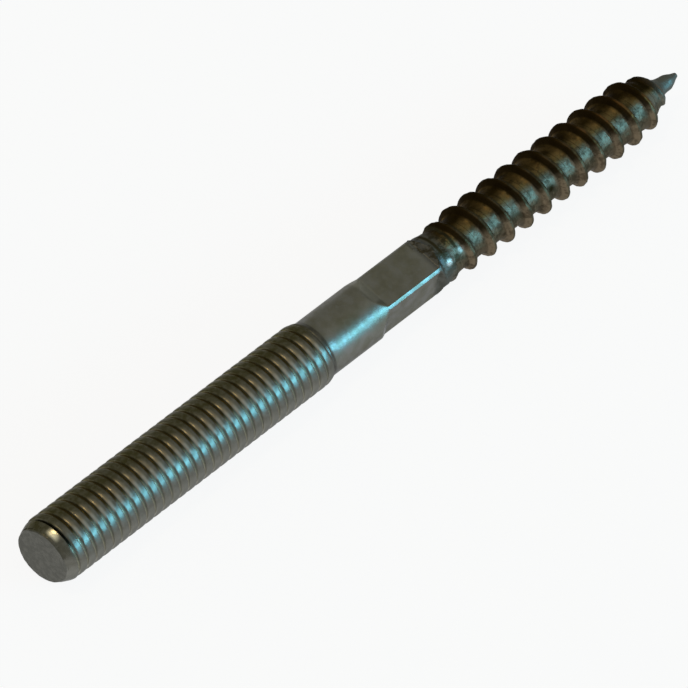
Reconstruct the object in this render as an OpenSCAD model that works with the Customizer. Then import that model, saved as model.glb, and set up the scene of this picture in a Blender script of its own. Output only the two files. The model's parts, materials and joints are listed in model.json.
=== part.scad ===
// Hanger bolt: machine thread at one end, wood thread with a gimlet point at the other,
// and between them a round shank and a square pressed into it for a spanner.
// It lies along X with the point at +X, on the surface at Z = 0. All lengths are in millimetres.

/* [Machine thread] */
// Diameter over the crests of the machine thread
machine_d = 7.9; // [7.5:0.05:8.4]
// Length from the flat end to where the machine thread has run out
machine_length = 41; // [25:0.5:60]
// Diameter of the flat end face
end_face_d = 6.6; // [5.8:0.1:7.2]
// Length of the tapered lead-in behind the end face
lead_in = 1.6; // [0.8:0.1:3]
// Length over which the machine thread sinks to the shank
machine_run_out = 1.4; // [1:0.1:4]
// Advance of the machine thread in one turn
machine_pitch = 1.25; // [1:0.05:1.5]
// Depth of the groove below the crests
groove_depth = 0.5; // [0.3:0.05:0.6]
// Width of the groove at the crests
groove_width = 0.6; // [0.4:0.05:0.8]
// Turn about the axis at which the first crest leaves the band behind the lead-in, in degrees
crest_start_turn = 91; // [0:1:359]
// Length of the plain band at each end of the groove
band_length = 0.3; // [0.2:0.05:0.6]

/* [Shank] */
// Diameter of the plain round shank
shank_d = 7.1; // [6.8:0.05:7.4]
// Length of the plain round shank
shank_length = 8; // [2:0.5:40]

/* [Pressed square] */
// Width of the square across its flats
square_af = 5.3; // [5:0.1:6]
// Length of the square, from the shank to the shoulder
square_length = 9.1; // [6:0.1:20]
// Length of the slope at each end of a flat
flat_run_out = 0.8; // [0.4:0.1:1.6]
// Turn of the square about the bolt's axis, in degrees
square_turn = 10; // [0:1:89]

/* [Wood thread] */
// Diameter over the crests of the wood thread
crest_d = 7.4; // [6.9:0.1:8]
// Diameter of the core between the crests
root_d = 5.6; // [5.2:0.1:5.8]
// Advance of the wood thread in one turn
wood_pitch = 3; // [2.6:0.1:3.6]
// Length from the collar to the tip of the point
wood_length = 40.5; // [30:0.5:55]
// Width of the ridge where it stands on the core
ridge_base = 1.4; // [1.1:0.1:1.8]
// Width of the rounded crest on top of the ridge
crest_width = 0.4; // [0.2:0.05:0.6]
// Length over which the ridge grows to its full height
ridge_run_in = 5.5; // [3:0.5:9]
// Length over which the valley sinks to the core
valley_run_in = 3; // [1.5:0.5:6]
// Turn about the axis at which the ridge leaves the collar, in degrees
ridge_start_turn = 187; // [0:1:359]

/* [Collar] */
// Diameter of the round collar between the square and the wood thread
collar_d = 6.2; // [6.1:0.05:6.6]
// Length of the collar, with the shoulder that leads down to it
collar_length = 1.4; // [1.2:0.1:3]
// Length of the shoulder between the square's corners and the collar
shoulder_length = 0.7; // [0.4:0.1:1]

/* [Point] */
// Length of the pointed end of the core
point_length = 6.4; // [5:0.1:10]
// Length over which the crests would fall to the axis
crest_fall = 9.2; // [8:0.1:14]
// Length in front of the tip where the crests start to fall
crest_taper = 10.2; // [9:0.1:15]
// Length of the bare tip in front of the ridge's end
bare_tip = 2.9; // [1.5:0.1:4]
// Length over which the ridge ends
ridge_end = 0.5; // [0.3:0.1:1.5]

/* [Hidden] */
$fn = 64;

// Colours of the zinc-grey steel and of the browner wood thread
steel_colour = [0.42, 0.43, 0.39];
thread_colour = [0.33, 0.29, 0.23];

// Radii
machine_r = machine_d / 2;
end_face_r = end_face_d / 2;
shank_r = shank_d / 2;
collar_r = collar_d / 2;
crest_r = crest_d / 2;
root_r = root_d / 2;

// Places along the axis, from the flat end
groove_start = lead_in + band_length;
groove_end = machine_length - machine_run_out - band_length;
shank_start = machine_length;
square_start = shank_start + shank_length;
shoulder_start = square_start + square_length;
collar_start = shoulder_start + shoulder_length;
collar_end = shoulder_start + collar_length;
bolt_length = collar_end + wood_length;

// The bands carry the true diameter, and the crests between them stand a little lower.
// Inside the thread's skin the turned body has a thinner neck
crest_clearance = 0.03;
neck_clearance = 0.3;
groove_r = machine_r - groove_depth;
neck_r = groove_r - neck_clearance;
band_overlap = band_length / 2;

// The threaded core starts a little way inside the collar and a little slimmer than it
stem_length = 0.5;
stem_clearance = 0.06;
stem_r = collar_r - stem_clearance;
threaded_length = stem_length + wood_length;

// The core's outline along the point: share of the point's length, share of the core's radius
point_shares = [[0, 1], [0.56, 0.375], [0.78, 0.28], [1, 0.1]];
// Height of the crest's two edges as a share of the ridge's height
crest_edge_share = 0.93;
// How fast the crests fall at first along the point
crest_power = 2.5;

// One pitch of each thread: place along the axis from the crest, share of the full height
machine_profile = [
    [-machine_pitch / 2, 0],
    [(groove_width - machine_pitch) / 2, 1],
    [(machine_pitch - groove_width) / 2, 1]
];
wood_profile = [
    [-wood_pitch / 2, 0],
    [-ridge_base / 2, 0],
    [-crest_width / 2, crest_edge_share],
    [0, 1],
    [crest_width / 2, crest_edge_share],
    [ridge_base / 2, 0]
];
// Steps in one turn of each thread
machine_steps = 24;
wood_steps = 32;

function clamp01(x) = max(0, min(1, x));

// Radius of the wood thread's core, a distance z from the start of the stem
wood_core = function(z)
    let(
        sink = clamp01((z - stem_length) / valley_run_in),
        along = clamp01((z - threaded_length + point_length) / point_length)
    )
    (stem_r + (root_r - stem_r) * sink) * lookup(along, point_shares);

// Radius over the wood thread's crest, before the ridge's end at the bare tip
wood_crest = function(z)
    let(
        growth = clamp01((z - stem_length) / ridge_run_in),
        fall = clamp01((z - threaded_length + crest_taper) / crest_fall)
    )
    (stem_r + (crest_r - stem_r) * growth) * (1 - pow(fall, crest_power));

// Height of the wood thread's ridge over its core
ridge_height = function(z)
    let(left = clamp01((threaded_length - bare_tip - z) / ridge_end))
    max(0, wood_crest(z) - wood_core(z)) * left;

// Rod along +Z with a right-handed thread, as one closed skin: rings of stations that follow
// the helix, each held to a plain ring past the rod's ends. The thread starts at start_turn
// a distance start along the rod, and core(z) and height(z) give its core and its ridge
module threaded_rod(length, start, start_turn, pitch, profile, steps, core, height) {
    stations = len(profile);
    rows = (ceil(length / pitch) + 3) * stations;

    // Distance of a station along the rod, before it is held to the rod's ends
    function station_z(step, row) =
        let(turn = floor(row / stations) - 2 - start_turn / 360 + step / steps)
        start + pitch * turn + profile[row % stations][0];

    // A point of the threaded surface
    function surface_point(step, row) =
        let(
            z = max(0, min(length, station_z(step, row))),
            r = core(z) + profile[row % stations][1] * height(z),
            angle = 360 * step / steps
        )
        [r * cos(angle), r * sin(angle), z];

    // A point of the ring that closes an end
    function ring_point(step, z) =
        [core(z) * cos(360 * step / steps), core(z) * sin(360 * step / steps), z];

    // Number of a surface point in the list: stations past an end share that end's ring
    function point_number(step, row) =
        let(
            column = step % steps,
            level = row + stations * floor(step / steps),
            z = station_z(column, level)
        )
        z <= 0 ? column
            : z >= length ? steps + column
            : 2 * steps + column * (rows + stations) + level;

    // Two triangles between four neighbours, less any that an end's ring has flattened
    function patch(a, b, c, d) = [
        for (t = [[a, d, c], [a, c, b]])
            if (t[0] != t[1] && t[1] != t[2] && t[2] != t[0]) t
    ];

    points = concat(
        [for (step = [0 : steps - 1]) ring_point(step, 0)],
        [for (step = [0 : steps - 1]) ring_point(step, length)],
        [for (step = [0 : steps - 1], row = [0 : rows + stations - 1]) surface_point(step, row)]
    );
    skin = [
        for (step = [0 : steps - 1], row = [0 : rows - 2])
            each patch(
                point_number(step, row),
                point_number(step + 1, row),
                point_number(step + 1, row + 1),
                point_number(step, row + 1)
            )
    ];
    start_cap = [[for (step = [0 : steps - 1]) step]];
    end_cap = [[for (step = [steps - 1 : -1 : 0]) steps + step]];
    polyhedron(points = points, faces = concat(skin, start_cap, end_cap));
}

// Crests and groove between the two bands, with their ends inside the bands
module machine_thread() {
    translate([0, 0, groove_start - band_overlap])
        threaded_rod(
            length = groove_end - groove_start + 2 * band_overlap,
            start = band_overlap,
            start_turn = crest_start_turn,
            pitch = machine_pitch,
            profile = machine_profile,
            steps = machine_steps,
            core = function(z) groove_r,
            height = function(z) groove_depth - crest_clearance
        );
}

// Core, ridge and point of the wood thread, with its stem inside the collar
module wood_thread() {
    translate([0, 0, collar_end - stem_length])
        threaded_rod(
            length = threaded_length,
            start = stem_length,
            start_turn = ridge_start_turn,
            pitch = wood_pitch,
            profile = wood_profile,
            steps = wood_steps,
            core = wood_core,
            height = ridge_height
        );
}

// Everything turned about the axis, from the flat end to the collar
module turned_body() {
    rotate_extrude()
        polygon([
            [0, 0],
            [end_face_r, 0],
            [machine_r, lead_in],
            [machine_r, groove_start],
            [neck_r, groove_start],
            [neck_r, groove_end],
            [machine_r, groove_end],
            [machine_r, machine_length - machine_run_out],
            [shank_r, machine_length],
            [shank_r, shoulder_start],
            [collar_r, collar_start],
            [collar_r, collar_end],
            [0, collar_end]
        ]);
}

// What pressing one flat takes off the shank: it slopes in from the shank and out to the collar
module flat_cut() {
    flat_r = square_af / 2;
    shank_slope = shank_r - flat_r;
    collar_slope = collar_r - flat_r;
    rotate([90, 0, 0])
        linear_extrude(height = 2 * shank_d, center = true)
            polygon([
                [shank_r + shank_slope, square_start - flat_run_out],
                [flat_r, square_start + flat_run_out],
                [flat_r, collar_start - flat_run_out],
                [collar_r + collar_slope, collar_start + flat_run_out],
                [shank_r + shank_slope, collar_start + flat_run_out]
            ]);
}

module plain_body() {
    difference() {
        turned_body();
        for (side = [0 : 3])
            rotate([0, 0, square_turn + 90 * side])
                flat_cut();
    }
}

module hanger_bolt() {
    translate([-bolt_length / 2, 0, machine_r])
        rotate([0, 90, 0]) {
            color(steel_colour) {
                plain_body();
                machine_thread();
            }
            color(thread_colour)
                wood_thread();
        }
}

hanger_bolt();
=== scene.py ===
"""Looks of the hanger bolt: machine thread, pressed square, wood thread and worn zinc-grey steel."""
import json
import math

import bpy
import numpy as np
from mathutils import Matrix, Vector, noise


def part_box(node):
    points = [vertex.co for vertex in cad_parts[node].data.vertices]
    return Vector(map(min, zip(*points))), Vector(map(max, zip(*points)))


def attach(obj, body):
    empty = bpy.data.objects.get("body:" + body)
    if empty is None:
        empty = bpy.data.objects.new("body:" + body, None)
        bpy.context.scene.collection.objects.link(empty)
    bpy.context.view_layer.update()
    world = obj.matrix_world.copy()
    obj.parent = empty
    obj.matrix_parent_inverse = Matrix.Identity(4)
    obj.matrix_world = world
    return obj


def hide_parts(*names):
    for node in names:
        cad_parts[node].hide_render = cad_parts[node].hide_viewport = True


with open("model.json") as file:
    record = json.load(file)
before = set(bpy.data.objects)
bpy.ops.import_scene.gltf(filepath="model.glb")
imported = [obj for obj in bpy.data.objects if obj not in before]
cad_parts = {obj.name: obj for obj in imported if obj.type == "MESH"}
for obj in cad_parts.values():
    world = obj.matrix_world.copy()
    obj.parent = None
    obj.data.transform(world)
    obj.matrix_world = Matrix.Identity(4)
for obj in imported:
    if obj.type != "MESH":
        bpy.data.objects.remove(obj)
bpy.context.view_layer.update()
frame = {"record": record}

MM = 0.001
STEPS = 144                      # points in one ring of the skin
SPARE_TURNS = 2                  # turns of a thread's lattice past each of its ends
WELD_DECIMALS = 6                # points that agree to this many decimals are one point
SHARP_EDGE = math.radians(38)    # edges that turn more than this stay sharp

# Machine thread, in millimetres from the flat end
MACHINE_R = frame["record"]["mounts"][0]["dims"]["r_mm"]
MACHINE_PITCH = 1.25
GROOVE_DEPTH = 0.5
END_FACE_R = 3.3
END_ROUNDING = 0.04
RIM_WIDTH = 0.35                 # width of the rounded rim of the end face
LEAD_IN = 1.6
LEAD_STRAIGHT = 0.6              # share of a straight cone in the lead-in's rounded form
FACE_LEAN = 0.115                # the end face is cut a little out of square
FACE_LEAN_TURN = math.radians(60)
FIRST_GROOVE = 0.7
GROOVE_RUN_IN = 0.6
MACHINE_LENGTH = 41.0
CREST_RUN_OUT = 1.4
RUN_OUT_POWER = 1.5              # how slowly the crests start to sink
GROOVE_RUN_OUT = 1.7
MACHINE_PHASE = math.radians(264)

# Shank, pressed square and collar
SHANK_R = 3.55
SQUARE_START = 49.0
SHOULDER_START = 58.1
COLLAR_START = 58.8
COLLAR_END = 59.5
COLLAR_R = 3.2
SQUARE_HALF = 2.65
FLAT_RUN_OUT = 0.8
FLAT_RUN_IN = 1.7                # eased slope from the shank to a flat
FLAT_LEAD = 0.7                  # how far it starts before the square
SQUARE_TURN = math.radians(10)
EDGE_SOFTNESS = 0.02
CORNER_SPREAD = math.radians(4)
FLATS_FULL = 1.2                 # past the square's start, its flats are at full depth
FLATS_LEVEL = 0.4                # before the shoulder, they are still level
RING_GAP = 0.1                   # between rings where the form turns
PLAIN_RINGS = 8                  # rings of each plain stretch

# Wood thread and point
WOOD_START_R = 3.14
CREST_R = 3.7
ROOT_R = 2.8
WOOD_PITCH = 3.0
RIDGE_BASE = 1.4
CREST_WIDTH = 0.4
RIDGE_RUN_IN = 5.5
VALLEY_RUN_IN = 3.0
RIDGE_START_TURN = math.radians(187)
POINT_LENGTH = 6.4
POINT_SHARES = ((0.0, 1.0), (0.56, 0.375), (0.76, 0.33), (1.0, 0.1))
CREST_FALL = 8.2
CREST_TAPER = 10.2
CREST_POWER = 3.0
BARE_TIP = 3.1
RIDGE_END = 0.5

SHADE_SIDE_TURN = math.radians(150)  # the side of both threads that is painted darker: painted shade

# Unevenness of the surface, in millimetres: two noises and how far each pushes it out or in
FINE_SCALE = 1.8
ROUGH_SCALE = 0.7
ROUGH_SHIFT = 9.0
FINE_PUSH = 0.006
FACE_PUSH = 0.05
WOOD_ROUGH_PUSH = 0.05
WOOD_FINE_PUSH = 0.045
FIRST_TURN_PUSH = 0.05
WOOD_ROUGH_START = 58.0
WOOD_ROUGH_RUN_IN = 3.0
FIRST_TURN = 60.5
FIRST_TURN_SPREAD = 2.2
END_ZONE = 0.3                   # this near to the flat end, the surface moves along the axis
LEAST_R = 0.3                    # nearer to the axis, the push gets no stronger

low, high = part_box("hanger_bolt")
BOLT_LENGTH = (high[0] - low[0]) / MM
FLAT_END_X = low[0]
AXIS_Y = (low[1] + high[1]) / 2
AXIS_Z = low[2] + MACHINE_R * MM

# One pitch of each thread: place as a share of the pitch from the crest, share of the full height
MACHINE_PROFILE = (
    (-0.50, 0.00), (-0.46, 0.12), (-0.41, 0.50), (-0.36, 0.84), (-0.31, 0.96), (-0.20, 0.99),
    (0.00, 1.00), (0.20, 0.99), (0.31, 0.96), (0.36, 0.84), (0.41, 0.50), (0.46, 0.12),
)
BASE = RIDGE_BASE / WOOD_PITCH / 2
CREST = CREST_WIDTH / WOOD_PITCH / 2
FILLET = 0.08
KNEE = 0.05
WOOD_PROFILE = (
    (-0.50, 0.000), (-0.40, 0.012), (-BASE - FILLET, 0.045), (-BASE, 0.110), (-BASE + KNEE, 0.320),
    (-CREST - KNEE, 0.720), (-CREST, 0.930), (0.00, 1.000), (CREST, 0.930), (CREST + KNEE, 0.720),
    (BASE - KNEE, 0.320), (BASE, 0.110), (BASE + FILLET, 0.045), (0.40, 0.012),
)


def ramp(x, start, length):
    """0 before start, 1 after start + length, a straight line between."""
    return np.clip((x - start) / length, 0.0, 1.0)


def smooth(t):
    """A share from 0 to 1, eased at both ends."""
    return t * t * (3.0 - 2.0 * t)


# Rings of the end face: even in its middle, close together at the rim
FACE_RADII = np.append(np.linspace(0.0, 2.9, 12), [3.0, 3.1, 3.2, END_FACE_R])


# Radius of each section at a place along the axis, a share of the thread's height and an angle
def machine_crest(x):
    growth = ramp(x, 0.0, LEAD_IN)
    growth = LEAD_STRAIGHT * growth + (1 - LEAD_STRAIGHT) * np.sin(growth * math.pi / 2)
    lead = END_FACE_R + (MACHINE_R - END_FACE_R) * growth
    sink = ramp(x, MACHINE_LENGTH - CREST_RUN_OUT, CREST_RUN_OUT) ** RUN_OUT_POWER
    return lead + (SHANK_R - MACHINE_R) * sink


def machine_radius(x, share, angle):
    opening = smooth(ramp(x, FIRST_GROOVE, GROOVE_RUN_IN))
    closing = smooth(ramp(x, MACHINE_LENGTH - GROOVE_RUN_OUT, GROOVE_RUN_OUT))
    root = MACHINE_R - GROOVE_DEPTH
    depth = np.maximum(machine_crest(x) - root, 0.0) * opening * (1.0 - closing)
    return machine_crest(x) - depth * (1.0 - share)


def round_body(x):
    shoulder = ramp(x, SHOULDER_START, COLLAR_START - SHOULDER_START)
    return SHANK_R + (COLLAR_R - SHANK_R) * smooth(shoulder)


def flat_distance(x):
    """Distance of the flats from the axis, rising past the shank and the collar at their ends."""
    fall = (SHANK_R - SQUARE_HALF) / FLAT_RUN_IN
    rise = (COLLAR_R - SQUARE_HALF) / FLAT_RUN_OUT
    near = SHANK_R - (x - SQUARE_START + FLAT_LEAD) * fall
    far = COLLAR_R + (x - COLLAR_START) * rise
    return np.maximum(SQUARE_HALF, np.maximum(near, far))


def shank_radius(x, share, angle):
    turn = (angle - SQUARE_TURN + math.pi / 4) % (math.pi / 2) - math.pi / 4
    flat = flat_distance(x) / np.cos(turn)
    body = round_body(x)
    gap = np.clip(0.5 + (body - flat) / (2 * EDGE_SOFTNESS), 0.0, 1.0)
    return body + (flat - body) * gap - EDGE_SOFTNESS * gap * (1.0 - gap)


def wood_core(x):
    sink = ramp(x, COLLAR_END, VALLEY_RUN_IN)
    along = ramp(x, BOLT_LENGTH - POINT_LENGTH, POINT_LENGTH)
    places, shares = zip(*POINT_SHARES)
    return (WOOD_START_R + (ROOT_R - WOOD_START_R) * sink) * np.interp(along, places, shares)


def wood_crest(x):
    growth = ramp(x, COLLAR_END, RIDGE_RUN_IN)
    fall = ramp(x, BOLT_LENGTH - CREST_TAPER, CREST_FALL)
    return (WOOD_START_R + (CREST_R - WOOD_START_R) * growth) * (1.0 - fall ** CREST_POWER)


def wood_radius(x, share, angle):
    left = 1.0 - ramp(x, BOLT_LENGTH - BARE_TIP - RIDGE_END, RIDGE_END)
    height = np.maximum(wood_crest(x) - wood_core(x), 0.0) * left
    return wood_core(x) + height * share


def quads(rows, columns):
    """Faces between neighbouring rings of points, listed ring by ring."""
    n = np.arange(rows - 1)[:, None] * columns
    j = np.arange(columns)[None, :]
    k = (j + 1) % columns
    return np.stack([n + j, n + k, n + columns + k, n + columns + j], axis=-1)


def ring_angles(step):
    """Angles of a ring's points, drawn a little apart at the square's four corners."""
    angle = step * 2 * math.pi / STEPS
    return angle + CORNER_SPREAD * np.sin(4 * (angle - SQUARE_TURN - math.pi / 4))


class Skin:
    """Points and faces of the bolt's surface, gathered section by section.

    Each point is marked with its share of the thread's height, its place in the pitch,
    its distance from the flat end and how far it faces the side with painted shade.
    """

    MARKS = ("crest", "side", "along", "shade_side")

    def __init__(self):
        self.points, self.marks, self.faces = [], [], []
        self.count = 0

    def add(self, x, radius, angle, crest, side, faces):
        point = np.stack([x, radius * np.sin(angle), -radius * np.cos(angle)], axis=-1)
        self.points.append(point.reshape(-1, 3))
        facing = np.cos(angle - SHADE_SIDE_TURN)
        self.marks.append(np.stack([crest, side, x, facing], axis=-1).reshape(-1, 4))
        self.faces.append(faces.reshape(-1, 4) + self.count)
        self.count += x.size

    def rings(self, places, radius_of):
        angle = ring_angles(np.arange(STEPS))
        x, a = np.meshgrid(places, angle, indexing="ij")
        one = np.ones_like(x)
        self.add(x, radius_of(x, one, a), a, one, 0 * one, quads(len(places), STEPS))

    def disc(self, x, radii):
        """Rings in one plane, closed at the middle."""
        angle = ring_angles(np.arange(STEPS))
        r, a = np.meshgrid(radii, angle, indexing="ij")
        one = np.ones_like(r)
        self.add(x * one, r, a, one, 0 * one, quads(len(radii), STEPS))

    def helix(self, start, end, pitch, phase, profile, radius_of):
        """A lattice that follows a right-handed helix, held to a plain ring at both ends."""
        places, heights = np.array(profile).T
        per_turn = len(profile)
        rows = (math.ceil((end - start) / pitch) + 2 * SPARE_TURNS) * per_turn
        row = np.arange(rows + per_turn)
        step = np.arange(STEPS)
        s, m = np.meshgrid(step, row, indexing="ij")
        angle = ring_angles(s)
        turn = (angle - phase) / (2 * math.pi) + m // per_turn - SPARE_TURNS
        side = places[m % per_turn]
        share = heights[m % per_turn]
        x = np.clip(start + pitch * (turn + side), start, end)
        i = np.arange(rows - 1)[None, :]
        here = step[:, None] * len(row) + i
        beside = (step[:, None] + 1) % STEPS * len(row) + i
        beside = beside + (step[:, None] + 1) // STEPS * per_turn
        faces = np.stack([here, beside, beside + 1, here + 1], axis=-1)
        self.add(x, radius_of(x, share, angle), angle, share, side, faces)

    def mesh(self, name):
        """One closed mesh: points that coincide are joined, and flattened faces go."""
        points, marks, faces = map(np.concatenate, (self.points, self.marks, self.faces))
        _, first, number = np.unique(np.round(points, WELD_DECIMALS), axis=0,
                                     return_index=True, return_inverse=True)
        faces = number.reshape(-1)[faces]
        points, marks = relief(points[first]), marks[first]
        loops = []
        for face in faces.tolist():
            loop = [v for i, v in enumerate(face) if v != face[i - 1]]
            if len(set(loop)) == len(loop) > 2:
                loops.append(loop)
        mesh = bpy.data.meshes.new(name)
        places = points * MM + np.array([FLAT_END_X, AXIS_Y, AXIS_Z])
        mesh.from_pydata(places.tolist(), [], loops)
        for title, values in zip(self.MARKS, marks.T):
            layer = mesh.attributes.new(title, "FLOAT", "POINT")
            layer.data.foreach_set("value", values.astype(np.float32))
        mesh.validate()
        mesh.update()
        return mesh


def uneven(x, y, z, scale, shift=0.0):
    return noise.noise(Vector((x * scale + shift, y * scale, z * scale)))


def relief(points):
    """Unevenness of the surface, and the lean and rounded rim of the end face."""
    out = points.copy()
    for i, (x, y, z) in enumerate(points):
        wood = min(1.0, max(0.0, (x - WOOD_ROUGH_START) / WOOD_ROUGH_RUN_IN))
        start = math.exp(-((x - FIRST_TURN) / FIRST_TURN_SPREAD) ** 2)
        fine = uneven(x, y, z, FINE_SCALE)
        rough = uneven(x, y, z, ROUGH_SCALE, ROUGH_SHIFT)
        push = FINE_PUSH * fine + wood * (WOOD_ROUGH_PUSH * rough + WOOD_FINE_PUSH * fine)
        push += start * FIRST_TURN_PUSH * fine
        r = math.hypot(y, z)
        toward = y * math.sin(FACE_LEAN_TURN) - z * math.cos(FACE_LEAN_TURN)
        lean = FACE_LEAN * toward * max(0.0, 1.0 - x / LEAD_IN)
        if x > END_ZONE:
            keep = 1.0 + push / max(r, LEAST_R)
            out[i] = (x - lean, y * keep, z * keep)
        else:
            rim = max(0.0, (r - END_FACE_R + RIM_WIDTH) / RIM_WIDTH)
            out[i] = (x - lean + END_ROUNDING * rim ** 2 + FACE_PUSH * fine, y, z)
    return out


def bolt_mesh():
    """The whole surface, section by section from the flat end to the tip."""
    skin = Skin()
    skin.disc(0.0, FACE_RADII)
    skin.helix(0.0, MACHINE_LENGTH, MACHINE_PITCH, MACHINE_PHASE, MACHINE_PROFILE, machine_radius)
    square_full, square_level = SQUARE_START + FLATS_FULL, SHOULDER_START - FLATS_LEVEL
    places = np.concatenate([
        np.linspace(MACHINE_LENGTH, SQUARE_START - FLAT_RUN_OUT, PLAIN_RINGS),
        np.arange(SQUARE_START - FLAT_RUN_OUT + RING_GAP, square_full, RING_GAP),
        np.linspace(square_full + 4 * RING_GAP, square_level - 2 * RING_GAP, PLAIN_RINGS),
        np.arange(square_level, COLLAR_END - RING_GAP / 2, RING_GAP),
        [COLLAR_END],
    ])
    skin.rings(places, shank_radius)
    skin.rings(np.array([COLLAR_END, COLLAR_END]),
               lambda x, s, a: np.stack([np.full(STEPS, COLLAR_R), np.full(STEPS, WOOD_START_R)]))
    skin.helix(COLLAR_END, BOLT_LENGTH, WOOD_PITCH, RIDGE_START_TURN, WOOD_PROFILE, wood_radius)
    skin.disc(BOLT_LENGTH, np.array([wood_core(BOLT_LENGTH), 0.0]))
    return skin.mesh("bolt_skin")


class Nodes:
    """Short calls for a material's node tree."""

    def __init__(self, name):
        self.material = bpy.data.materials.new(name)
        self.material.use_nodes = True
        self.tree = self.material.node_tree
        self.tree.nodes.clear()
        self.output = self.add("ShaderNodeOutputMaterial")

    def put(self, socket, value):
        if isinstance(value, bpy.types.NodeSocket):
            self.tree.links.new(value, socket)
        else:
            socket.default_value = value

    def add(self, kind, inputs=None, **settings):
        node = self.tree.nodes.new(kind)
        for key, value in settings.items():
            setattr(node, key, value)
        for key, value in (inputs or {}).items():
            self.put(node.inputs[key], value)
        return node

    def attribute(self, name):
        return self.add("ShaderNodeAttribute", attribute_name=name).outputs["Fac"]

    def noise(self, place, scale, detail=3.0, roughness=0.55):
        return self.add("ShaderNodeTexNoise", {
            "Vector": place, "Scale": scale, "Detail": detail, "Roughness": roughness,
        }).outputs["Fac"]

    def span(self, value, low, high, to_low=0.0, to_high=1.0):
        """A smooth step from to_low at low to to_high at high."""
        return self.add("ShaderNodeMapRange", {
            "Value": value, "From Min": low, "From Max": high,
            "To Min": to_low, "To Max": to_high,
        }, interpolation_type="SMOOTHSTEP").outputs["Result"]

    def between(self, value, rise, fall):
        """A smooth rise and, further on, a smooth fall."""
        return self.math("MULTIPLY", self.span(value, *rise), self.span(value, *fall))

    def mix(self, share, first, second):
        """A mix of two colours: sockets 6 and 7 and output 2 are the node's colour sockets."""
        node = self.add("ShaderNodeMix", {0: share, 6: first, 7: second}, data_type="RGBA")
        return node.outputs[2]

    def math(self, operation, first, second):
        return self.add("ShaderNodeMath", {0: first, 1: second}, operation=operation).outputs[0]


def colour(red, green, blue):
    return (red, green, blue, 1.0)


# Base colours of the metal, low because its surroundings are bright
SHANK = colour(0.178, 0.18, 0.166)
SHANK_STAIN = colour(0.118, 0.114, 0.078)
# Painted shade: a dark band where the machine thread runs out into the shank
RUN_OUT_PAINTED_SHADE = colour(0.05, 0.048, 0.04)
# Painted light: the upper side of the slope that leads to the flats
SLOPE_PAINTED_LIGHT = colour(0.25, 0.25, 0.22)
END_FACE = colour(0.10, 0.10, 0.088)
MACHINE_CREST = colour(0.118, 0.116, 0.098)
# Painted light: the machine thread's paler colour on its lower side
MACHINE_PAINTED_LOWER_LIGHT = colour(0.17, 0.17, 0.15)
# Painted highlight: a warm glint on the machine thread's shoulders, brighter away from the upper side
SHOULDER_PAINTED_GLINT = colour(0.235, 0.205, 0.145)
SHOULDER_PAINTED_GLINT_BRIGHT = colour(0.34, 0.325, 0.29)
# Painted highlight: a gold glint on the lead-in
LEAD_PAINTED_GLINT = colour(0.95, 0.92, 0.75)
# Painted light: the grooves get a pale colour that offsets the shade in them, dimmer on the upper
# side
GROOVE_PAINTED_LIGHT = colour(0.60, 0.58, 0.50)
# Painted shade: the machine thread's colour on its upper side
MACHINE_PAINTED_SHADE = colour(0.06, 0.055, 0.022)
GROOVE_PAINTED_LIGHT_DIM = colour(0.30, 0.26, 0.15)
# Painted shade: the colour of the wood thread's crests on the upper side
WOOD_CREST_PAINTED_SHADE = colour(0.06, 0.045, 0.025)
WOOD_RUST = colour(0.12, 0.06, 0.02)
# Painted light: the wood valleys are pale grey where the window's highlight falls
WOOD_VALLEY_PAINTED_LIGHT = colour(0.155, 0.137, 0.102)
# Painted highlight: a warm glint in the wood valleys higher up
WOOD_VALLEY_PAINTED_GLINT = colour(0.15, 0.10, 0.038)
# Painted light and shade: the wood thread's ridges and valleys on the lower side
WOOD_PAINTED_LOWER_SIDE = colour(0.095, 0.075, 0.047)
# Painted light: the wood thread's flanks on the lower side
WOOD_FLANK_PAINTED_LIGHT = colour(0.18, 0.14, 0.09)
# Painted shade on the wood thread's flanks on the upper side; also the colour of its random dark dirt
# patches and of the nick
WOOD_DIRT_AND_SHADE = colour(0.016, 0.010, 0.003)
# Painted shade: the wood thread's colour on its upper side and on the last turn
WOOD_PAINTED_SHADE = colour(0.022, 0.014, 0.003)
COLLAR_GREY = colour(0.10, 0.10, 0.086)
# Dark dirt on the collar, and painted shade in rings at the collar's step and the first turn
COLLAR_DIRT_AND_SHADE = colour(0.035, 0.03, 0.015)
# Painted shade: the flats' far slope is dulled on its upper side to hold back a reflection
COLLAR_SLOPE_PAINTED_SHADE = colour(0.085, 0.087, 0.085)
TIP_STEEL = colour(0.12, 0.125, 0.11)
FINE_GRAIN = colour(0.24, 0.235, 0.21)
EDGE_TINT = colour(0.55, 0.55, 0.55)
# Painted highlight: two bright spots on the collar
PAINTED_SPARK = colour(0.42, 0.38, 0.34)

# Spots on the skin: millimetres from the flat end and from the axis, and radius
NICK = (76.3, -2.85, 1.10, 0.85)
# Place of the painted gold glint on the lead-in
GLINT_SPOT = (0.95, -0.85, 3.3, 1.05)
# Places of the two painted highlights on the collar
SPARKS = ((59.7, -2.71, 1.70, 0.6), (61.9, -2.45, 2.0, 0.6))
SPOT_CORE = 0.25                 # share of a spot's radius that is full
SHADE_RINGS = (59.45, 61.5)       # where shade is painted in rings round the collar's step and the first turn
RING_FADE = (0.35, 0.1)          # from the edge of such a ring to its full dark

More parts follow.
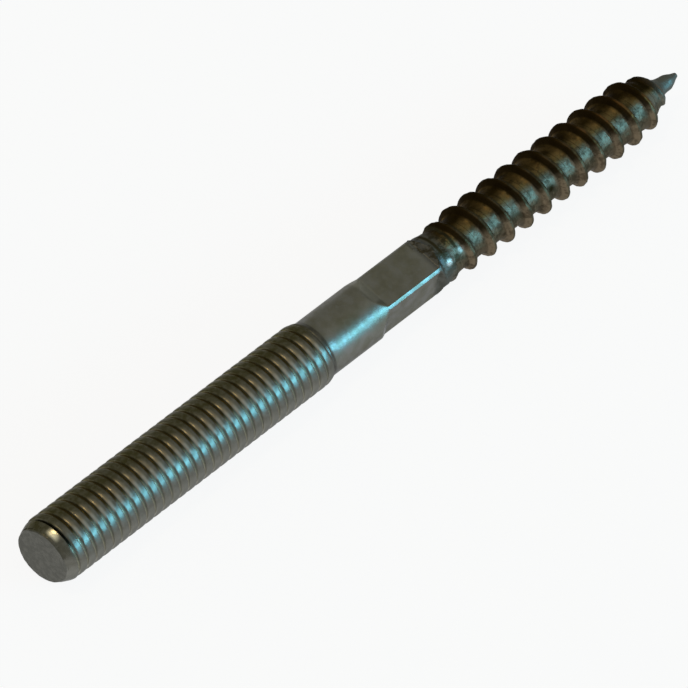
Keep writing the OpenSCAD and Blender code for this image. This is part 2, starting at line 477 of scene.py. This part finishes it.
# A fade says where it starts and where it is full, and may add the results there.
# Fades along the bolt, in millimetres from the flat end
FACE_EDGE = (0.2, 0.05)
GLINT_RISE, GLINT_FALL = (0.3, 0.75), (1.6, 1.05)
FIRST_GROOVE_RISE = (0.9, 1.4)
GROOVES_RISE, GROOVES_FALL = (1.8, 2.4), (40.2, 39.2)
SHOULDERS_RISE = (2.0, 2.6)
SHANK_RISE = (40.0, 41.0)
RUN_OUT_RISE, RUN_OUT_FALL = (40.2, 40.6), (41.15, 40.95, 0.0, 0.8)
SLOPE_RISE, SLOPE_FALL = (48.5, 49.0), (50.3, 49.8, 0.0, 0.8)
SHOULDER_RISE = (57.2, 58.2)
COLLAR_RISE = (58.8, 59.2)
DIRT_RISE, DIRT_FALL = (57.2, 57.8), (62.5, 60.5)
LUMPS_RISE = (57.2, 60.0)
WOOD_RISE = (59.5, 61.0)
RUST_RISE = (74.0, 92.0)
LAST_TURN_RISE = (90.0, 92.5)
TIP_RISE = (94.5, 97.0)

# Fades round the bolt: 1 faces the side with painted shade, 0 is square to it and -1 faces away
MACHINE_DARK_SIDE = (0.62, 0.95)
MACHINE_LOWER_SIDE = (-0.25, -0.55)
SHOULDER_GLINT_RISE, SHOULDER_GLINT_FALL = (0.2, 0.35), (0.9, 0.7)
SHOULDER_BRIGHT_GLINT_SIDE = (0.65, 0.5)
FIRST_GROOVE_SIDE = (0.4, 0.1)
GROOVE_DARK_SIDE = (0.35, 0.6)
SLOPE_SIDE = (0.4, 0.55)
COLLAR_SIDE = (0.0, 0.3)
DIRT_SIDE = (-0.4, 0.2, 0.3, 1.0)
RING_SIDE = (0.0, 0.5)
WOOD_SHADE_SIDE = (-0.1, 0.35)
WOOD_DARK_SIDE = (0.72, 0.96)
VALLEY_GLINT_SIDE = (0.35, 0.65)
VALLEY_LOWER_SIDE = (0.1, -0.3)
LAST_TURN_SIDE = (0.5, 0.75)

# Fades across one pitch, by place or by share of the thread's height
SHOULDER_GLINT_EDGE_RISE, SHOULDER_GLINT_EDGE_FALL = (-0.46, -0.34), (0.08, -0.22)
FLANK_RISE, FLANK_FALL = (-0.22, -0.17), (-0.01, -0.07, 0.0, 0.9)
GROOVE_DEEP = (0.9, 0.3)
RIDGE_HIGH = (0.5, 0.97)

# Noises, by their scale per metre, and what they fade in
GRAIN_SCALE = 1800.0
CLOUD_SCALE = 350.0
PATCH_SCALE = 900.0
PATCH_ROUGHNESS = 0.65
SHANK_CLOUDS = (0.42, 0.68, 0.0, 0.6)
SHANK_PATCHES = (0.42, 0.60, 0.0, 0.5)
MACHINE_CLOUDS = (0.3, 0.6, 0.7, 1.0)
WOOD_CLOUDS = (0.3, 0.6, 0.6, 1.0)
WOOD_PATCHES = (0.47, 0.62, 0.0, 0.5)
DIRT_PATCHES = (0.48, 0.58, 0.0, 0.8)
GRAIN_SPECKS = (0.4, 0.65, 0.0, 0.2)

# Roughness of each section, what changes it, and the two bumps' strength and depth in metres
LEAD_TO_MACHINE = (1.0, 1.6, 0.26, 0.325)
SHANK_ROUGHNESS = 0.34
WOOD_ROUGHNESS = 0.54
PATCH_GLOSS = (0.35, 0.65, -0.04, 0.05)
SPARK_GLOSS = 0.12
LUMP_STRENGTH, LUMP_DEPTH = 0.5, 0.0002
GRAIN_STRENGTH, GRAIN_DEPTH = 0.3, 0.00005


def machine_colour(n, crest, side, along, facing, cloud):
    """Dull crests, a painted glint on the shoulders, grooves painted pale against their shade, a
    lower side painted paler and painted shade on the upper side.
    """
    # Paler on the lower side: painted light
    skin = n.mix(n.span(facing, *MACHINE_LOWER_SIDE), MACHINE_CREST, MACHINE_PAINTED_LOWER_LIGHT)
    # Painted shade on the upper side, broken up a little by the cloud noise
    shade_side = n.math("MULTIPLY", n.span(facing, *MACHINE_DARK_SIDE), n.span(cloud, *MACHINE_CLOUDS))
    skin = n.mix(shade_side, skin, MACHINE_PAINTED_SHADE)
    # Painted highlight on the thread's shoulders
    edge = n.between(side, SHOULDER_GLINT_EDGE_RISE, SHOULDER_GLINT_EDGE_FALL)
    shoulder = n.math("MULTIPLY", edge, n.span(along, *SHOULDERS_RISE))
    shoulder = n.math("MULTIPLY", shoulder, n.between(facing, SHOULDER_GLINT_RISE, SHOULDER_GLINT_FALL))
    shoulder_glint = n.mix(n.span(facing, *SHOULDER_BRIGHT_GLINT_SIDE), SHOULDER_PAINTED_GLINT, SHOULDER_PAINTED_GLINT_BRIGHT)
    skin = n.mix(shoulder, skin, shoulder_glint)
    first = n.math("MULTIPLY", n.span(along, *FIRST_GROOVE_RISE), n.span(facing, *FIRST_GROOVE_SIDE))
    open_groove = n.math("MAXIMUM", first, n.span(along, *GROOVES_RISE))
    open_groove = n.math("MULTIPLY", open_groove, n.span(along, *GROOVES_FALL))
    # Grooves painted pale against their shade, dimmer on the upper side: painted light
    hollow = n.math("MULTIPLY", open_groove, n.span(crest, *GROOVE_DEEP))
    groove = n.mix(n.span(facing, *GROOVE_DARK_SIDE), GROOVE_PAINTED_LIGHT, GROOVE_PAINTED_LIGHT_DIM)
    return n.mix(hollow, skin, groove)


def wood_colour(n, crest, side, along, facing, cloud, patch):
    """Brown thread: valleys painted pale grey in their middle with a painted glint higher up, ridges
    and nearly black flanks painted dark on the upper side and lighter below, painted shade on one
    side, and random dark dirt.
    """
    upper_shade = n.span(facing, *WOOD_SHADE_SIDE)
    # Valleys: painted light under the highlight, a painted glint higher up
    valley = n.mix(n.span(facing, *VALLEY_GLINT_SIDE), WOOD_VALLEY_PAINTED_LIGHT, WOOD_VALLEY_PAINTED_GLINT)
    valley = n.mix(n.span(facing, *VALLEY_LOWER_SIDE), valley, WOOD_PAINTED_LOWER_SIDE)
    ridge = n.mix(n.span(along, *RUST_RISE), WOOD_CREST_PAINTED_SHADE, WOOD_RUST)
    # Ridges dark on the upper side and lighter below: painted shade and light
    ridge = n.mix(upper_shade, WOOD_PAINTED_LOWER_SIDE, ridge)
    skin = n.mix(n.span(crest, *RIDGE_HIGH), valley, ridge)
    # Painted shade on the upper side, and on the upper side of the last turn
    shade_side = n.math("MULTIPLY", n.span(facing, *WOOD_DARK_SIDE), n.span(cloud, *WOOD_CLOUDS))
    last_turn = n.math("MULTIPLY", n.span(facing, *LAST_TURN_SIDE), n.span(along, *LAST_TURN_RISE))
    skin = n.mix(n.math("MAXIMUM", shade_side, last_turn), skin, WOOD_PAINTED_SHADE)
    # Flanks nearly black on the upper side and lighter below: painted shade and light
    flank = n.between(side, FLANK_RISE, FLANK_FALL)
    skin = n.mix(flank, skin, n.mix(upper_shade, WOOD_FLANK_PAINTED_LIGHT, WOOD_DIRT_AND_SHADE))
    skin = n.mix(n.span(patch, *WOOD_PATCHES), skin, WOOD_DIRT_AND_SHADE)
    return n.mix(n.span(along, *TIP_RISE), skin, TIP_STEEL)


def spot(n, place, x, y, z, radius):
    """Share of a soft round spot on the skin."""
    middle = (FLAT_END_X + x * MM, AXIS_Y + y * MM, AXIS_Z + z * MM)
    away = n.add("ShaderNodeVectorMath", {0: place, 1: middle}, operation="DISTANCE").outputs["Value"]
    return n.span(away, radius * MM, radius * MM * SPOT_CORE)


def collar_dirt_and_shade(n, along, facing, patch):
    """Share of dark dirt patches on the collar and the start of the wood thread, stronger on the
    upper side, and of painted shade in rings round the collar's step and the first turn.
    """
    near = n.math("MULTIPLY", n.between(along, DIRT_RISE, DIRT_FALL), n.span(facing, *DIRT_SIDE))
    dirt_and_shade = n.math("MULTIPLY", n.span(patch, *DIRT_PATCHES), near)
    for place in SHADE_RINGS:
        away = n.math("ABSOLUTE", n.math("SUBTRACT", along, place), 0.0)
        ring = n.math("MULTIPLY", n.span(away, *RING_FADE), n.span(facing, *RING_SIDE))
        dirt_and_shade = n.math("MAXIMUM", dirt_and_shade, ring)
    return dirt_and_shade


def shank_colour(n, along, facing, cloud, patch):
    """Stained grey, with painted light on the upper side of the slope that leads to the flats."""
    shank = n.mix(n.span(cloud, *SHANK_CLOUDS), SHANK, SHANK_STAIN)
    shank = n.mix(n.span(patch, *SHANK_PATCHES), shank, SHANK_STAIN)
    slope_light = n.math("MULTIPLY", n.between(along, SLOPE_RISE, SLOPE_FALL), n.span(facing, *SLOPE_SIDE))
    return n.mix(slope_light, shank, SLOPE_PAINTED_LIGHT)


def bolt_material():
    """One metal whose colour and roughness change along and round the bolt."""
    n = Nodes("zinc_steel")
    place = n.add("ShaderNodeTexCoord").outputs["Object"]
    crest, side, along, facing = (n.attribute(name) for name in Skin.MARKS)
    grain = n.noise(place, GRAIN_SCALE, 4.0)
    cloud = n.noise(place, CLOUD_SCALE)
    patch = n.noise(place, PATCH_SCALE, 4.0, PATCH_ROUGHNESS)

    machine = machine_colour(n, crest, side, along, facing, cloud)
    base = n.mix(n.span(along, *SHANK_RISE), machine, shank_colour(n, along, facing, cloud, patch))
    # Painted shade where the thread runs out
    base = n.mix(n.between(along, RUN_OUT_RISE, RUN_OUT_FALL), base, RUN_OUT_PAINTED_SHADE)
    # A painted gold glint on the lead-in
    glint = n.math("MULTIPLY", spot(n, place, *GLINT_SPOT), n.between(along, GLINT_RISE, GLINT_FALL))
    base = n.mix(glint, base, LEAD_PAINTED_GLINT)
    base = n.mix(n.span(along, *FACE_EDGE), base, END_FACE)
    base = n.mix(n.span(grain, *GRAIN_SPECKS), base, FINE_GRAIN)
    # The flats' far slope, dulled on its upper side: painted shade
    shoulder = n.mix(n.span(facing, *COLLAR_SIDE), COLLAR_GREY, COLLAR_SLOPE_PAINTED_SHADE)
    base = n.mix(n.span(along, *SHOULDER_RISE), base, shoulder)
    base = n.mix(n.span(along, *COLLAR_RISE), base, COLLAR_GREY)
    wood = wood_colour(n, crest, side, along, facing, cloud, patch)
    base = n.mix(n.span(along, *WOOD_RISE), base, wood)
    # Dirt patches, and painted shade in the creases round the collar
    base = n.mix(collar_dirt_and_shade(n, along, facing, patch), base, COLLAR_DIRT_AND_SHADE)
    base = n.mix(spot(n, place, *NICK), base, WOOD_DIRT_AND_SHADE)
    # Two painted highlights on the collar, also a little glossier
    painted_sparks = 0.0
    for where in SPARKS:
        painted_sparks = n.math("MAXIMUM", spot(n, place, *where), painted_sparks)
    base = n.mix(painted_sparks, base, PAINTED_SPARK)

    roughness = n.span(along, *LEAD_TO_MACHINE)
    roughness = n.math("MAXIMUM", roughness, n.span(along, *SHANK_RISE, 0.0, SHANK_ROUGHNESS))
    roughness = n.math("MAXIMUM", roughness, n.span(along, *SHOULDER_RISE, 0.0, WOOD_ROUGHNESS))
    roughness = n.math("ADD", roughness, n.span(patch, *PATCH_GLOSS))
    roughness = n.math("SUBTRACT", roughness, n.math("MULTIPLY", painted_sparks, SPARK_GLOSS))

    lumps = n.add("ShaderNodeBump", {
        "Strength": LUMP_STRENGTH,
        "Distance": LUMP_DEPTH,
        "Height": n.math("MULTIPLY", patch, n.span(along, *LUMPS_RISE)),
    })
    bump = n.add("ShaderNodeBump", {
        "Strength": GRAIN_STRENGTH,
        "Distance": GRAIN_DEPTH,
        "Height": grain,
        "Normal": lumps.outputs["Normal"],
    })
    shader = n.add("ShaderNodeBsdfPrincipled", {
        "Base Color": base,
        "Metallic": 1.0,
        "Specular Tint": EDGE_TINT,
        "Roughness": roughness,
        "Normal": bump.outputs["Normal"],
    })
    n.put(n.output.inputs[0], shader.outputs[0])
    return n.material


def build_bolt():
    mesh = bolt_mesh()
    mesh.materials.append(bolt_material())
    mesh.polygons.foreach_set("use_smooth", [True] * len(mesh.polygons))
    mesh.set_sharp_from_angle(angle=SHARP_EDGE)
    piece = bpy.data.objects.new("bolt_skin", mesh)
    bpy.context.scene.collection.objects.link(piece)
    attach(piece, "root")
    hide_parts("hanger_bolt")


# Camera: the photograph looks down on the bolt from the flat end's side
CAMERA_AZIMUTH = math.radians(-45.62)
CAMERA_ELEVATION = math.radians(48.27)
CAMERA_DISTANCE = 0.614
SENSOR = 36.0
LENS = 292.9
AIM_ALONG = 44.5                 # millimetres from the flat end
AIM_ASIDE = 1.48                 # millimetres below the axis, as the camera sees it
CLIP_START, CLIP_END = 0.01, 10.0


def camera_axes():
    right = Vector((math.cos(CAMERA_AZIMUTH), math.sin(CAMERA_AZIMUTH), 0.0))
    back = Vector((
        math.sin(CAMERA_AZIMUTH) * math.cos(CAMERA_ELEVATION),
        -math.cos(CAMERA_AZIMUTH) * math.cos(CAMERA_ELEVATION),
        math.sin(CAMERA_ELEVATION),
    ))
    return right, back.cross(right), back


def build_camera():
    right, up, back = camera_axes()
    axis = Vector((1.0, 0.0, 0.0))
    seen = axis - back * axis.dot(back)
    aside = back.cross(seen).normalized() * -1.0
    aim = Vector((FLAT_END_X + AIM_ALONG * MM, AXIS_Y, AXIS_Z)) + aside * AIM_ASIDE * MM
    data = bpy.data.cameras.new("camera")
    data.lens = LENS
    data.sensor_width = SENSOR
    data.clip_start = CLIP_START
    data.clip_end = CLIP_END
    camera = bpy.data.objects.new("camera", data)
    turn = Matrix((right, up, back)).transposed()
    camera.matrix_world = Matrix.Translation(aim + back * CAMERA_DISTANCE) @ turn.to_4x4()
    bpy.context.scene.collection.objects.link(camera)
    bpy.context.scene.camera = camera


# Lamps: direction from the bolt, width and height in metres, power, tint
LAMP_DISTANCE = 1.0
LAMPS = (
    ("window", (0.475, -0.831, 0.285), (0.9, 0.26), 9.0, (0.2, 0.7, 1.0)),
    ("ceiling", (0.475, -0.30, 0.83), (0.6, 0.45), 0.12, (1.0, 0.95, 0.8)),
    ("bulb", (-0.24, 0.10, 0.97), (0.10, 0.16), 1.1, (1.0, 0.74, 0.36)),
)
WORLD_LEVEL = 0.45
WORLD_TINT = colour(1.0, 0.98, 0.84)
FLOOR_HALF = 3.0                 # half the floor's width
FLOOR_SHADE = 0.8
FLOOR_SEEN = 0.90                # share of plain white in what the camera sees of the floor
FLOOR_REFLECTED = 0.96           # and in what the metal reflects of it


def build_lamps():
    middle = Vector((0.0, AXIS_Y, AXIS_Z))
    for name, direction, size, power, tint in LAMPS:
        data = bpy.data.lights.new(name, "AREA")
        data.shape = "RECTANGLE"
        data.size, data.size_y = size
        data.energy = power
        data.color = tint
        lamp = bpy.data.objects.new(name, data)
        away = Vector(direction).normalized()
        lamp.location = middle + away * LAMP_DISTANCE
        lamp.rotation_euler = away.to_track_quat("Z", "Y").to_euler()
        bpy.context.scene.collection.objects.link(lamp)


def build_stage():
    """Pale floor that keeps the shadow, and a plain world."""
    mesh = bpy.data.meshes.new("floor")
    corners = [(x * FLOOR_HALF, y * FLOOR_HALF, 0) for x, y in ((-1, -1), (1, -1), (1, 1), (-1, 1))]
    mesh.from_pydata(corners, [], [(0, 1, 2, 3)])
    floor = bpy.data.objects.new("floor", mesh)
    floor.location.z = low[2]
    n = Nodes("floor")
    path = n.add("ShaderNodeLightPath").outputs
    mirrored = n.math("MAXIMUM", path["Is Glossy Ray"], path["Is Transmission Ray"])
    mirrored = n.math("MULTIPLY", mirrored, FLOOR_REFLECTED)
    share = n.math("MAXIMUM", mirrored, n.math("MULTIPLY", path["Is Camera Ray"], FLOOR_SEEN))
    plain = n.add("ShaderNodeBsdfDiffuse", {"Color": colour(*[FLOOR_SHADE] * 3)})
    white = n.add("ShaderNodeEmission", {"Color": colour(1, 1, 1), "Strength": 1.0})
    both = n.add("ShaderNodeMixShader", {0: share, 1: plain.outputs[0], 2: white.outputs[0]})
    n.put(n.output.inputs[0], both.outputs[0])
    mesh.materials.append(n.material)
    bpy.context.scene.collection.objects.link(floor)

    world = bpy.data.worlds.new("world")
    world.use_nodes = True
    world.node_tree.nodes["Background"].inputs["Strength"].default_value = WORLD_LEVEL
    world.node_tree.nodes["Background"].inputs["Color"].default_value = WORLD_TINT
    bpy.context.scene.world = world


build_camera()
build_stage()
build_lamps()
build_bolt()
bpy.context.scene.view_settings.view_transform = "Standard"
